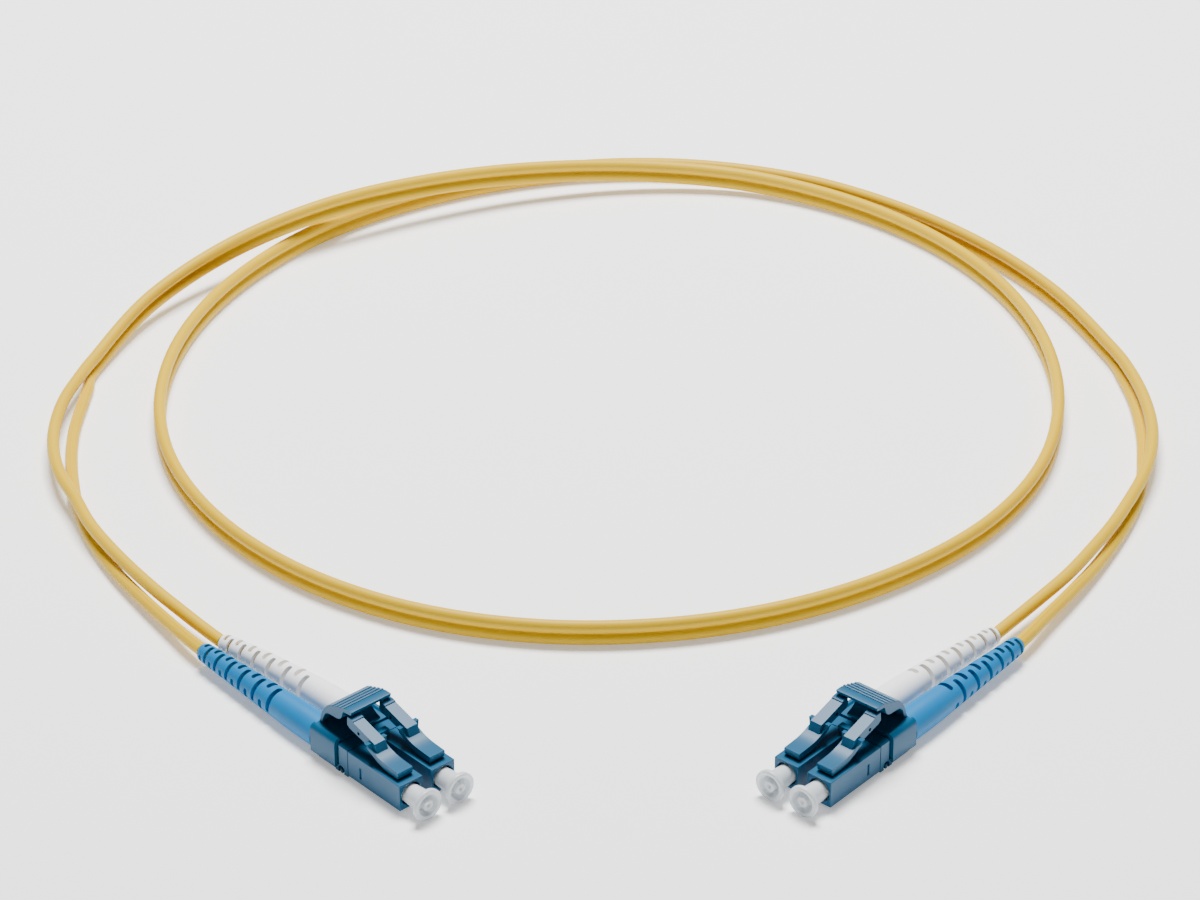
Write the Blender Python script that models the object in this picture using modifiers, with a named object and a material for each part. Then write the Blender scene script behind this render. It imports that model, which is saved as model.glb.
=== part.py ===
"""Duplex fibre optic patch cord with two-plug latched connectors at both ends.

Metres, +Z up. The origin is on the floor, midway between the two connectors.
Each connector is built in its own frame: x points forward out of the plug,
y across the pair, z up from the axis of the ferrules, x = 0 at the plug's face.
"""
import math

import bmesh
import bpy
from mathutils import Matrix, Vector

for old in list(bpy.data.objects):
    bpy.data.objects.remove(old, do_unlink=True)

# ---------------------------------------------------------------- clearances
GAP = 0.0003           # between faces that touch on the real cord
FIT = 0.0002           # round the small turned pieces inside a plug

# ------------------------------------------------------- placing of the ends
END_X = 0.0281         # plug face, from the middle between the connectors
END_YAW = math.radians(48.9)   # each connector points down and inwards
PITCH = 0.00625        # between the two ferrules of a duplex connector

# ----------------------------------------------------------------- plug body
BODY = 0.00452         # width and height of the square plug
BODY_LENGTH = 0.0123   # from the face back to the clip
BODY_CHAMFER = 0.00018
SHANK = 0.0035         # width and height of the rear part inside the clip
SHANK_LENGTH = 0.0072
CAVITY_RADIUS = 0.0019     # round opening in the face
CAVITY_DEPTH = 0.0033
SHOULDER_RADIUS = 0.00083  # stops the ferrule holder from coming forward
SHOULDER_THICKNESS = 0.0007
CHAMBER_RADIUS = 0.0014    # bore for the holder, spring and rear post
KEY_SLOT = 0.00042         # small straight slot moulded in the side
KEY_SLOT_HEIGHT = 0.0019
KEY_SLOT_BACK = 0.0093

# ------------------------------------------------------------ ferrule and holder
FERRULE_RADIUS = 0.000625
FERRULE_LENGTH = 0.0065
FERRULE_REACH = 0.0016     # in front of the plug's face
FERRULE_CHAMFER = 0.0002
HOLDER_LENGTH = 0.0014
HOLDER_SEAT = 0.0009       # how deep the ferrule sits in the holder
TAIL_RADIUS = 0.0008
TAIL_LENGTH = 0.0036
FIBRE_RADIUS = 0.00045     # 0.9 mm buffered fibre
FERRULE_TRAVEL = 0.0006    # how far a mated ferrule is pushed back

# -------------------------------------------------------------------- spring
SPRING_WIRE = 0.00026
SPRING_LENGTH = 0.0056
SPRING_TURNS = 4
SPRING_POINTS = 8          # points in a turn

# ------------------------------------------------ rear post and crimp sleeve
POST_FLANGE = 0.0008       # thickness of the stop behind the shank
POST_FLANGE_RADIUS = 0.0016
POST_TAIL_RADIUS = 0.0011
POST_TAIL_LENGTH = 0.0048
SLEEVE_WALL = 0.0003
SLEEVE_REAR = 0.0026       # length of the sleeve that grips the jacket

# ---------------------------------------------------------------------- clip
CLIP_WALL = 0.00042        # proud of the plug's side
CLIP_LENGTH = 0.0082
CLIP_DECK = 0.00269        # height of the deck over the axis
CLIP_RIM = 0.00036         # rise of the two side rims over the deck
CLIP_FOOT = 0.00255        # depth of the lower rail below the axis
BLOCK_FOOT = 0.00176       # depth of the proud side blocks below the axis
COLUMN_LENGTH = 0.0023     # front part that is flush with the plug
RAIL_SHORT = 0.0012        # the rail ends this far before the clip's back
BRIDGE_HALF = 0.0018       # half width of the bar between the latches
BRIDGE_LENGTH = 0.0011
BRIDGE_RISE = 0.0012
NECK_HALF = 0.00055

# ------------------------------------------------------- latches and trigger
LATCH_HALF = 0.00142       # half width of a latch at its root
LATCH_NARROW = 0.00104     # half width of its rear block
LATCH_FRONT = 0.0014       # root, behind the plug's face
LATCH_STEP = 0.0070        # front of the raised block
LATCH_END = 0.0136         # free end
LATCH_RISE = 0.00508       # top of the free end over the plug's top
LATCH_HOLE = 0.00028
EAR_REACH = 0.0009         # pegs on the two sides of a latch
EAR_LENGTH = 0.00074
EAR_BACK = 0.00825
TRIGGER_HALF = 0.0039
TRIGGER_LIP = 0.00065      # thickness over the latches
TONGUE_HALF = 0.00175
RIDGES = 4

# ---------------------------------------------------------------------- boot
BOOT_RADIUS = 0.0026
BOOT_SMOOTH = 0.0100       # length without slots, next to the clip
BOOT_SHOULDER = 0.00238    # radius where the slots begin
BOOT_TIP_RADIUS = 0.00148
BOOT_LENGTH = 0.0297
BOOT_ROOM = 0.0079         # depth of the wide bore round the crimp sleeve
# The white boots bow towards the blue ones, with their jackets, from the clip on.
WHITE_BOW = {"left": 0.180, "right": 0.240}     # radius of each end's bow
BOW_FIT = 0.00005          # between a bowed boot and the sleeve inside it
SLOT_WIDTH = 0.00075
SLOT_FIRST = 0.0009        # from the tip to the first row of slots
SLOT_STEP = 0.00125        # from the first row to the second
SLOT_GROWTH = 0.000078     # each later step is longer by this
SLOT_ROWS = 12

# ------------------------------------------------------------------ dust cap
CAP_FLANGE_RADIUS = 0.0026
CAP_FLANGE = 0.0008
CAP_REACH = 0.0041         # face of the cap, in front of the plug
CAP_DEPTH = 0.0029         # of the barrel inside the plug
CAP_BARREL = 0.0016
CAP_FLARE = 0.0018
CAP_BOSS = 0.00094
CAP_RECESS = 0.0014

# ---------------------------------------------------------------------- cord
LEG_RADIUS = 0.00105       # one leg of the zip cord
LEG_PITCH = 0.0022         # between the two cores of the zip cord
WEB_HALF = 0.00035         # half thickness of the web between them
CORD_STEPS = 58            # points along the duplex stretch
LEG_STEPS = 16
JACKET_STEPS = 5           # stations along a jacket inside its boot

# The zip cord stands on edge: its upper core goes to the white boots and its
# lower core to the blue ones. Points are the middle of the pair, from the left
# split, over the cord's other end in a long low hump, once round, to the right.
CORD_ROUTE = [
    (-0.0883, 0.1095, 0.0022), (-0.0799, 0.1283, 0.0038), (-0.0663, 0.1438, 0.0060),
    (-0.0497, 0.1559, 0.0073), (-0.0315, 0.1657, 0.0068), (-0.0121, 0.1727, 0.0055),
    (0.0082, 0.1759, 0.0040), (0.0283, 0.1739, 0.0028), (0.0466, 0.1648, 0.0023),
    (0.0615, 0.1506, 0.0022), (0.0720, 0.1328, 0.0022), (0.0774, 0.1131, 0.0022),
    (0.0778, 0.0925, 0.0022), (0.0730, 0.0723, 0.0022), (0.0627, 0.0545, 0.0022),
    (0.0477, 0.0404, 0.0022), (0.0297, 0.0303, 0.0022), (0.0100, 0.0249, 0.0022),
    (-0.0108, 0.0245, 0.0022), (-0.0308, 0.0296, 0.0022), (-0.0485, 0.0401, 0.0022),
    (-0.0626, 0.0551, 0.0022), (-0.0721, 0.0735, 0.0022), (-0.0760, 0.0936, 0.0022),
    (-0.0743, 0.1143, 0.0022), (-0.0675, 0.1336, 0.0022), (-0.0560, 0.1509, 0.0022),
    (-0.0408, 0.1646, 0.0022), (-0.0225, 0.1744, 0.0022), (-0.0027, 0.1797, 0.0022),
    (0.0180, 0.1796, 0.0022), (0.0380, 0.1737, 0.0022), (0.0552, 0.1626, 0.0022),
    (0.0699, 0.1478, 0.0022), (0.0810, 0.1306, 0.0022), (0.0886, 0.1113, 0.0022),
]
# Each leg runs from 0.3 mm past the split to 0.3 mm short of its boot.
LEG_ROUTES = {
    "left_white_leg": [
        (-0.0884, 0.1092, 0.0033), (-0.0905, 0.1024, 0.0034), (-0.0923, 0.0953, 0.0035),
        (-0.0931, 0.0885, 0.0035), (-0.0931, 0.0820, 0.0035), (-0.0922, 0.0754, 0.0036),
        (-0.0904, 0.0690, 0.0037), (-0.0878, 0.0630, 0.0037), (-0.0844, 0.0544, 0.0037),
        (-0.0793, 0.0453, 0.0036), (-0.0731, 0.0363, 0.0033), (-0.0669, 0.0285, 0.0029),
        (-0.0639, 0.0249, 0.0027), (-0.06113, 0.02159, 0.0026),
    ],
    "left_blue_leg": [
        (-0.0884, 0.1092, 0.0011), (-0.0891, 0.1026, 0.0011), (-0.0897, 0.0962, 0.0011),
        (-0.0902, 0.0900, 0.0011), (-0.0902, 0.0835, 0.0011), (-0.0897, 0.0770, 0.0011),
        (-0.0888, 0.0705, 0.0011), (-0.0875, 0.0640, 0.0011), (-0.0847, 0.0546, 0.0012),
        (-0.0802, 0.0449, 0.0014), (-0.0750, 0.0359, 0.0017), (-0.0691, 0.0266, 0.0022),
        (-0.0666, 0.0227, 0.0025), (-0.06407, 0.01923, 0.0026),
    ],
    "right_white_leg": [
        (0.0887, 0.1110, 0.0033), (0.0910, 0.1026, 0.0035), (0.0924, 0.0940, 0.0035),
        (0.0928, 0.0860, 0.0035), (0.0923, 0.0794, 0.0036), (0.0910, 0.0727, 0.0037),
        (0.0891, 0.0668, 0.0037), (0.0868, 0.0613, 0.0037), (0.0829, 0.0530, 0.0037),
        (0.0787, 0.0457, 0.0036), (0.0736, 0.0378, 0.0034), (0.0671, 0.0297, 0.0030),
        (0.0632, 0.0251, 0.0027), (0.0607, 0.02205, 0.0026),
    ],
    "right_blue_leg": [
        (0.0887, 0.1110, 0.0011), (0.0903, 0.1032, 0.0011), (0.0912, 0.0963, 0.0011),
        (0.0914, 0.0896, 0.0011), (0.0912, 0.0830, 0.0011), (0.0905, 0.0765, 0.0011),
        (0.0896, 0.0702, 0.0011), (0.0879, 0.0630, 0.0011), (0.0840, 0.0533, 0.0012),
        (0.0788, 0.0430, 0.0015), (0.0740, 0.0348, 0.0020), (0.0688, 0.0266, 0.0024),
        (0.0666, 0.0229, 0.0026), (0.06407, 0.01923, 0.0026),
    ],
}

# ------------------------------------------------- places that follow from these
AXIS_HEIGHT = max(CAP_FLANGE_RADIUS, BOOT_RADIUS)      # what stands on the floor
BODY_TOP = BODY / 2
HOLDER_FRONT = -(CAVITY_DEPTH + SHOULDER_THICKNESS + FIT)
HOLDER_BACK = HOLDER_FRONT - HOLDER_LENGTH
SPRING_FRONT = HOLDER_BACK - FIT
POST_FRONT = SPRING_FRONT - SPRING_LENGTH - FIT
SHANK_BACK = -(BODY_LENGTH + SHANK_LENGTH)
CLIP_FRONT = -(BODY_LENGTH + GAP)
CLIP_BACK = CLIP_FRONT - CLIP_LENGTH
POST_STOP = SHANK_BACK - GAP
POST_TAIL = POST_STOP - POST_FLANGE
POST_BACK = POST_TAIL - POST_TAIL_LENGTH
BOOT_FRONT = CLIP_BACK - GAP
BOOT_TIP = BOOT_FRONT - BOOT_LENGTH
JACKET_FRONT = POST_BACK - 2 * FIT
JACKET_BACK = BOOT_TIP + FIT
SLEEVE_FRONT = min(BOOT_FRONT, POST_TAIL) - FIT
SLEEVE_BACK = POST_BACK - FIT - SLEEVE_REAR
BOW_SAG = (BOOT_FRONT - SLEEVE_BACK) ** 2 / (2 * min(WHITE_BOW.values()))
GRIP_ROOM = LEG_RADIUS + FIT + SLEEVE_WALL + BOW_SAG + BOW_FIT
POCKET = SHANK / 2 + FIT                 # half width of the clip's pockets
CLIP_HALF = PITCH / 2 + BODY / 2 + CLIP_WALL
COLUMN_HALF = PITCH / 2 + BODY / 2
LATCH_FOOT = BODY_TOP + 0.8 * GAP
LATCH_AXIS = (-(LATCH_FRONT + 0.0008), BODY_TOP + 0.00075)
TRIGGER_AXIS = (CLIP_BACK + 0.0004, CLIP_DECK + 0.00045)
# Standing the origin in the middle of the connectors' box, front to back.
FRONT_REACH = (CAP_REACH * math.sin(END_YAW)
               + (PITCH / 2 + CAP_FLANGE_RADIUS) * math.cos(END_YAW))
BACK_REACH = (-BOOT_TIP * math.sin(END_YAW)
              + (PITCH / 2 + BOOT_TIP_RADIUS) * math.cos(END_YAW))
END_Y = (FRONT_REACH - BACK_REACH) / 2


# ------------------------------------------------------------------ collections
def collection(name):
    new = bpy.data.collections.new(name)
    bpy.context.scene.collection.children.link(new)
    return new


PARTS = collection("fibre_optic_patch_cord")
CUTTERS = collection("cutters")


# -------------------------------------------------------------------- materials
def material(name, colour, roughness, metallic=0.0, alpha=1.0):
    new = bpy.data.materials.new(name)
    new.use_nodes = True
    shader = new.node_tree.nodes["Principled BSDF"]
    shader.inputs["Base Color"].default_value = (*colour, 1.0)
    shader.inputs["Roughness"].default_value = roughness
    shader.inputs["Metallic"].default_value = metallic
    shader.inputs["Alpha"].default_value = alpha
    return new


TEAL = material("teal_plastic", (0.018, 0.13, 0.22), 0.35)
BLUE = material("blue_boot", (0.012, 0.25, 0.60), 0.45)
WHITE = material("white_boot", (0.80, 0.80, 0.82), 0.45)
YELLOW = material("yellow_jacket", (0.82, 0.58, 0.03), 0.45)
CLEAR = material("milky_cap", (0.75, 0.78, 0.82), 0.30, alpha=0.6)
ZIRCONIA = material("zirconia", (0.85, 0.84, 0.80), 0.15)
NICKEL = material("nickel_plate", (0.55, 0.53, 0.50), 0.30, metallic=1.0)
STEEL = material("spring_steel", (0.50, 0.50, 0.52), 0.35, metallic=1.0)
BUFFER = material("fibre_buffer", (0.85, 0.85, 0.80), 0.40)


# ------------------------------------------------------------------ basic shapes
def add(name, mesh, paint=None):
    """A mesh as an object: with a material it is a piece, without it a cutter."""
    obj = bpy.data.objects.new(name, mesh)
    if paint is None:
        CUTTERS.objects.link(obj)
        obj.hide_render = True
        obj.display_type = "WIRE"
    else:
        PARTS.objects.link(obj)
        mesh.materials.append(paint)
    return obj


def box_mesh(name, *boxes):
    """Boxes given as (x0, x1, y0, y1, z0, z1)."""
    bm = bmesh.new()
    for x0, x1, y0, y1, z0, z1 in boxes:
        middle = Vector(((x0 + x1) / 2, (y0 + y1) / 2, (z0 + z1) / 2))
        size = (x1 - x0, y1 - y0, z1 - z0)
        matrix = Matrix.Translation(middle) @ Matrix.Diagonal((*size, 1))
        bmesh.ops.create_cube(bm, size=1, matrix=matrix)
    mesh = bpy.data.meshes.new(name)
    bm.to_mesh(mesh)
    bm.free()
    return mesh


def turned(name, profile, sides, paint=None, tube=False):
    """Points (x, radius) from the front down the outside, turned about x."""
    bm = bmesh.new()
    verts = [bm.verts.new((radius, 0, x)) for x, radius in profile]
    for first, second in zip(verts, verts[1:]):
        bm.edges.new((first, second))
    if tube:
        bm.edges.new((verts[-1], verts[0]))
    mesh = bpy.data.meshes.new(name)
    bm.to_mesh(mesh)
    bm.free()
    obj = add(name, mesh, paint)
    screw = obj.modifiers.new("turn", "SCREW")
    screw.steps = sides
    screw.render_steps = sides
    screw.use_merge_vertices = True
    screw.merge_threshold = 0.000001
    screw.use_smooth_shade = True
    obj.rotation_euler = (0, math.radians(90), 0)
    return obj


def curve_mesh(obj):
    """The evaluated mesh of a curve object, its caps welded; the curve goes."""
    bpy.context.view_layer.update()
    graph = bpy.context.evaluated_depsgraph_get()
    mesh = bpy.data.meshes.new_from_object(obj.evaluated_get(graph))
    bpy.data.objects.remove(obj, do_unlink=True)
    bm = bmesh.new()
    bm.from_mesh(mesh)
    bmesh.ops.remove_doubles(bm, verts=bm.verts, dist=0.000002)
    bmesh.ops.recalc_face_normals(bm, faces=bm.faces)
    bm.to_mesh(mesh)
    bm.free()
    return mesh


def plate_mesh(name, outline, half, along="y"):
    """A flat outline, (x, z) or (y, z) points, thickened to both sides."""
    curve = bpy.data.curves.new(name, "CURVE")
    curve.dimensions = "2D"
    curve.fill_mode = "BOTH"
    curve.extrude = half
    spline = curve.splines.new("POLY")
    spline.points.add(len(outline) - 1)
    for point, (u, w) in zip(spline.points, outline):
        point.co = (u, w, 0, 1)
    spline.use_cyclic_u = True
    obj = bpy.data.objects.new(name, curve)
    CUTTERS.objects.link(obj)
    mesh = curve_mesh(obj)
    upright = Matrix.Rotation(math.radians(90), 4, "X")
    if along == "x":
        upright = Matrix.Rotation(math.radians(90), 4, "Z") @ upright
    mesh.transform(upright)
    return mesh


def boolean(obj, tool, operation="DIFFERENCE"):
    cut = obj.modifiers.new(operation.lower(), "BOOLEAN")
    cut.operation = operation
    cut.object = tool


def hold(obj, end, at=(0, 0, 0)):
    """Ties a piece to its connector's empty."""
    obj.parent = end
    obj.location = at


# ------------------------------------------------------------- one plug's pieces
def plug_body(name, end, y):
    half, shank = BODY / 2, SHANK / 2
    body = add(name, box_mesh(name, (-BODY_LENGTH, 0, -half, half, -half, half)), TEAL)
    bevel = body.modifiers.new("edges", "BEVEL")
    bevel.width = BODY_CHAMFER
    bevel.segments = 1
    rear = add(name + "_shank", box_mesh("shank", (
        SHANK_BACK, -BODY_LENGTH + GAP, -shank, shank, -shank, shank)))
    boolean(body, rear, "UNION")
    shoulder = -CAVITY_DEPTH
    chamber = shoulder - SHOULDER_THICKNESS
    bore = turned(name + "_bore", [
        (GAP, 0), (GAP, CAVITY_RADIUS), (shoulder, CAVITY_RADIUS),
        (shoulder, SHOULDER_RADIUS), (chamber, SHOULDER_RADIUS),
        (chamber, CHAMBER_RADIUS), (SHANK_BACK - GAP, CHAMBER_RADIUS),
        (SHANK_BACK - GAP, 0)], 16)
    boolean(body, bore)
    deep = half - KEY_SLOT / 2
    slots = add(name + "_key", box_mesh("key", *[
        (-KEY_SLOT_BACK - KEY_SLOT / 2, -KEY_SLOT_BACK + KEY_SLOT / 2,
         min(side * deep, side * BODY), max(side * deep, side * BODY),
         KEY_SLOT - half * 0.75, KEY_SLOT - half * 0.75 + KEY_SLOT_HEIGHT)
        for side in (-1, 1)]))
    boolean(body, slots)
    for obj in (body, rear, bore, slots):
        hold(obj, end, (0, y, 0))


def ferrule(name, end, y):
    tip = FERRULE_REACH
    back = tip - FERRULE_LENGTH
    radius, chamfer = FERRULE_RADIUS, FERRULE_CHAMFER
    hold(turned(name, [
        (tip, 0), (tip, radius - chamfer), (tip - chamfer, radius),
        (back, radius), (back, 0)], 16, ZIRCONIA), end, (0, y, 0))


def ferrule_holder(name, end, y):
    flange = CHAMBER_RADIUS - FIT
    seat = FERRULE_RADIUS + FIT
    bore = FIBRE_RADIUS + FIT * 0.75
    hold(turned(name, [
        (HOLDER_FRONT, flange), (HOLDER_BACK, flange), (HOLDER_BACK, TAIL_RADIUS),
        (HOLDER_BACK - TAIL_LENGTH, TAIL_RADIUS), (HOLDER_BACK - TAIL_LENGTH, bore),
        (HOLDER_FRONT - HOLDER_SEAT, bore), (HOLDER_FRONT - HOLDER_SEAT, seat),
        (HOLDER_FRONT, seat)], 12, NICKEL, tube=True), end, (0, y, 0))


def spring(name, end, y):
    """A compression spring round the holder's tail."""
    radius = (CHAMBER_RADIUS + TAIL_RADIUS) / 2
    wire = SPRING_WIRE / 2
    run = SPRING_LENGTH - SPRING_WIRE
    curve = bpy.data.curves.new(name, "CURVE")
    curve.dimensions = "3D"
    curve.bevel_depth = wire
    curve.bevel_resolution = 0
    curve.use_fill_caps = True
    line = curve.splines.new("POLY")
    count = SPRING_TURNS * SPRING_POINTS
    line.points.add(count)
    for step, point in enumerate(line.points):
        angle = 2 * math.pi * step / SPRING_POINTS
        x = SPRING_FRONT - wire - run * step / count
        point.co = (x, radius * math.cos(angle), radius * math.sin(angle), 1)
    obj = bpy.data.objects.new(name, curve)
    CUTTERS.objects.link(obj)
    hold(add(name, curve_mesh(obj), STEEL), end, (0, y, 0))
    least = run / SPRING_TURNS - SPRING_WIRE
    print(name, "least gap between turns, mm:", round(least * 1000, 3))


def rear_post(name, end, y):
    """Closes the plug behind the spring; the aramid yarn is crimped on its tail."""
    bore = FIBRE_RADIUS + FIT * 0.75
    post = CHAMBER_RADIUS - FIT
    hold(turned(name, [
        (POST_FRONT, post), (POST_STOP, post), (POST_STOP, POST_FLANGE_RADIUS),
        (POST_TAIL, POST_FLANGE_RADIUS), (POST_TAIL, POST_TAIL_RADIUS),
        (POST_BACK, POST_TAIL_RADIUS), (POST_BACK, bore), (POST_FRONT, bore)],
        12, NICKEL, tube=True), end, (0, y, 0))


def crimp_sleeve(name, end, y):
    inner = POST_TAIL_RADIUS + FIT
    step = POST_BACK - FIT
    grip = LEG_RADIUS + FIT
    hold(turned(name, [
        (SLEEVE_FRONT, inner + SLEEVE_WALL), (step, inner + SLEEVE_WALL),
        (step - FIT, grip + SLEEVE_WALL), (SLEEVE_BACK, grip + SLEEVE_WALL),
        (SLEEVE_BACK, grip),
        (step, grip), (step, inner), (SLEEVE_FRONT, inner)],
        12, NICKEL, tube=True), end, (0, y, 0))


def fibre(name, end, y):
    front = HOLDER_FRONT - HOLDER_SEAT - FERRULE_TRAVEL - FIT / 2
    back = JACKET_FRONT + FIT
    hold(turned(name, [(front, 0), (front, FIBRE_RADIUS), (back, FIBRE_RADIUS),
                       (back, 0)], 8, BUFFER), end, (0, y, 0))


def bow(obj, radius):
    """Bends a finished turned piece to that radius from the boot's front on.

    A turned piece's own z runs forward; the bow goes to y above 0 for a radius
    above 0, and to the other side for one below 0.
    """
    bpy.context.view_layer.update()
    graph = bpy.context.evaluated_depsgraph_get()
    mesh = bpy.data.meshes.new_from_object(obj.evaluated_get(graph))
    obj.modifiers.clear()
    obj.data = mesh
    for vert in mesh.vertices:
        if vert.co.z < BOOT_FRONT:
            angle = (BOOT_FRONT - vert.co.z) / radius
            reach = radius - vert.co.y
            vert.co.z = BOOT_FRONT - reach * math.sin(angle)
            vert.co.y = radius - reach * math.cos(angle)


def jacket_end(name, end, y):
    """The cord's jacket where it runs inside the boot."""
    stations = [JACKET_FRONT + (JACKET_BACK - JACKET_FRONT) * step / JACKET_STEPS
                for step in range(JACKET_STEPS + 1)]
    jacket = turned(name, [(JACKET_FRONT, 0), *[(x, LEG_RADIUS) for x in stations],
                           (JACKET_BACK, 0)], 8, YELLOW)
    hold(jacket, end, (0, y, 0))
    return jacket


def boot(name, end, y, paint, roll):
    """A tapered sleeve whose opposite slots change sides from row to row."""
    body = turned(name, [
        (BOOT_FRONT, 0), (BOOT_FRONT, BOOT_RADIUS),
        (BOOT_FRONT - BOOT_SMOOTH, BOOT_SHOULDER), (BOOT_TIP, BOOT_TIP_RADIUS),
        (BOOT_TIP, 0)], 10, paint)
    room = max(POST_TAIL_RADIUS + SLEEVE_WALL + 2 * FIT, GRIP_ROOM)
    narrow = LEG_RADIUS + FIT
    deep = BOOT_FRONT - BOOT_ROOM
    bore = turned(name + "_bore", [
        (BOOT_FRONT + GAP, 0), (BOOT_FRONT + GAP, room), (deep, room),
        (deep - 2 * (room - narrow), narrow), (BOOT_TIP - GAP, narrow),
        (BOOT_TIP - GAP, 0)], 8)
    boolean(body, bore)
    boxes = []
    x = BOOT_TIP + SLOT_FIRST
    step = SLOT_STEP
    for row in range(SLOT_ROWS):
        inner, outer = BOOT_TIP_RADIUS / 2, 2 * BOOT_RADIUS
        for side in (-1, 1):
            near, far = sorted((side * inner, side * outer))
            x0, x1 = x - SLOT_WIDTH / 2, x + SLOT_WIDTH / 2
            if row % 2 == 0:
                boxes.append((x0, x1, -outer, outer, near, far))
            else:
                boxes.append((x0, x1, near, far, -outer, outer))
        x += step
        step += SLOT_GROWTH
    slots = add(name + "_slots", box_mesh("slots", *boxes))
    boolean(body, slots)
    for obj in (body, bore, slots):
        hold(obj, end, (0, y, 0))
    slots.rotation_euler = (math.radians(roll), 0, 0)
    return body


def dust_cap(name, end, y):
    """A milky stopper: its barrel covers the ferrule and fills the plug's face."""
    flange = CAP_REACH - CAP_FLANGE
    rim = CAP_FLARE
    bottom = CAP_REACH - CAP_RECESS
    bore = FERRULE_RADIUS + FIT
    top = CAP_REACH - CAP_FLANGE / 8
    blind = FERRULE_REACH + 2 * FIT
    hold(turned(name, [
        (bottom + CAP_RECESS / 2, 0), (top, CAP_BOSS / 2), (top, CAP_BOSS),
        (bottom, CAP_BOSS), (bottom, rim * 0.75), (CAP_REACH, rim),
        (CAP_REACH, CAP_FLANGE_RADIUS), (flange, CAP_FLANGE_RADIUS), (flange, CAP_FLARE),
        (GAP, CAP_BARREL), (-CAP_DEPTH, CAP_BARREL), (-CAP_DEPTH, bore),
        (blind, bore), (blind, 0)], 12, CLEAR), end, (0, y, 0))


def latch(name, holder, y):
    """A sprung arm, rooted at the front, that clicks into a socket's window."""
    front, foot, top = -LATCH_FRONT, LATCH_FOOT, BODY_TOP
    run, rise = LATCH_FRONT - LATCH_STEP, LATCH_RISE
    step = -LATCH_STEP
    root = [
        (front, foot), (front, top + 0.264 * rise), (front + 0.30 * run, top + 0.28 * rise),
        (front + 0.57 * run, top + 0.303 * rise), (front + 0.79 * run, top + 0.353 * rise),
        (step + 0.0004, top + 0.40 * rise), (step - GAP, top + 0.46 * rise),
        (step - GAP, top + 0.295 * rise), (front + 0.59 * run, top + 0.097 * rise),
        (front + 0.285 * run, foot)]
    arm = add(name, plate_mesh(name, root, LATCH_HALF), TEAL)
    end, end_top = -LATCH_END, top + rise
    block = [
        (step + 0.0005, top + 0.33 * rise), (step + 0.0005, top + 0.40 * rise),
        (step - 0.00015, top + 0.657 * rise), (end + 0.0014, end_top - 0.00034),
        (end + 0.0012, end_top - 0.00008), (end + 0.0007, end_top), (end, end_top),
        (end - 0.0001, end_top - 0.00145), (end + 0.0005, end_top - 0.00185),
        (end + 0.0043, top + 0.46 * rise), (step, top + 0.305 * rise)]
    rear = add(name + "_block", plate_mesh("block", block, LATCH_NARROW))
    boolean(arm, rear, "UNION")
    reach = LATCH_NARROW + EAR_REACH
    height = top + 0.47 * rise
    ears = add(name + "_ears", box_mesh("ears", (
        -EAR_BACK - EAR_LENGTH / 2, -EAR_BACK + EAR_LENGTH / 2, -reach, reach,
        height, height + 0.0009)))
    boolean(arm, ears, "UNION")
    bm = bmesh.new()
    turn = Matrix.Rotation(math.radians(90), 4, "X")
    place = Matrix.Translation((end + 0.0026, 0, end_top - 0.00175))
    bmesh.ops.create_cone(bm, cap_ends=True, segments=8, radius1=LATCH_HOLE,
                          radius2=LATCH_HOLE, depth=4 * LATCH_NARROW, matrix=place @ turn)
    hole_mesh = bpy.data.meshes.new("hole")
    bm.to_mesh(hole_mesh)
    bm.free()
    hole = add(name + "_hole", hole_mesh)
    boolean(arm, hole)
    x, z = LATCH_AXIS
    for obj in (arm, rear, ears, hole):
        obj.data.transform(Matrix.Translation((-x, 0, -z)))
        hold(obj, holder, (x, y, z))


# ------------------------------------------------- what the two plugs share
def duplex_clip(name, end):
    half, rim = CLIP_HALF, CLIP_DECK + CLIP_RIM
    block = [
        (-half, -BLOCK_FOOT), (-half, CLIP_DECK - 0.00054), (-half + 0.00055, rim),
        (-half + 0.00085, rim), (-half + 0.00145, CLIP_DECK)]
    outline = block + [(-y, z) for y, z in reversed(block)]
    column_back = CLIP_FRONT - COLUMN_LENGTH
    mesh = plate_mesh(name, outline, (column_back - CLIP_BACK) / 2, along="x")
    mesh.transform(Matrix.Translation(((column_back + CLIP_BACK) / 2, 0, 0)))
    clip = add(name, mesh, TEAL)
    neck_front = CLIP_FRONT + NECK_HALF + BRIDGE_LENGTH
    bar_foot = BODY_TOP + GAP
    joined = [
        (column_back - GAP, CLIP_FRONT, -COLUMN_HALF, COLUMN_HALF, -CLIP_FOOT, BODY_TOP),
        (CLIP_BACK + RAIL_SHORT, CLIP_FRONT - GAP, -COLUMN_HALF + GAP,
         COLUMN_HALF - GAP, -CLIP_FOOT, GAP - BLOCK_FOOT),
        (CLIP_FRONT - GAP, neck_front, -NECK_HALF, NECK_HALF, GAP, bar_foot + GAP),
        (neck_front - BRIDGE_LENGTH, neck_front - GAP / 10, -BRIDGE_HALF, BRIDGE_HALF,
         bar_foot, bar_foot + BRIDGE_RISE)]
    tools = []
    for index, extents in enumerate(joined):
        extra = add(f"{name}_add_{index}", box_mesh("extra", extents))
        boolean(clip, extra, "UNION")
        tools.append(extra)
    pockets = add(name + "_pockets", box_mesh("pockets", *[
        (CLIP_BACK - GAP, CLIP_FRONT + GAP / 2, y - POCKET, y + POCKET, -POCKET, POCKET)
        for y in (-PITCH / 2, PITCH / 2)]))
    boolean(clip, pockets)
    for obj in (clip, pockets, *tools):
        hold(obj, end)


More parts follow.
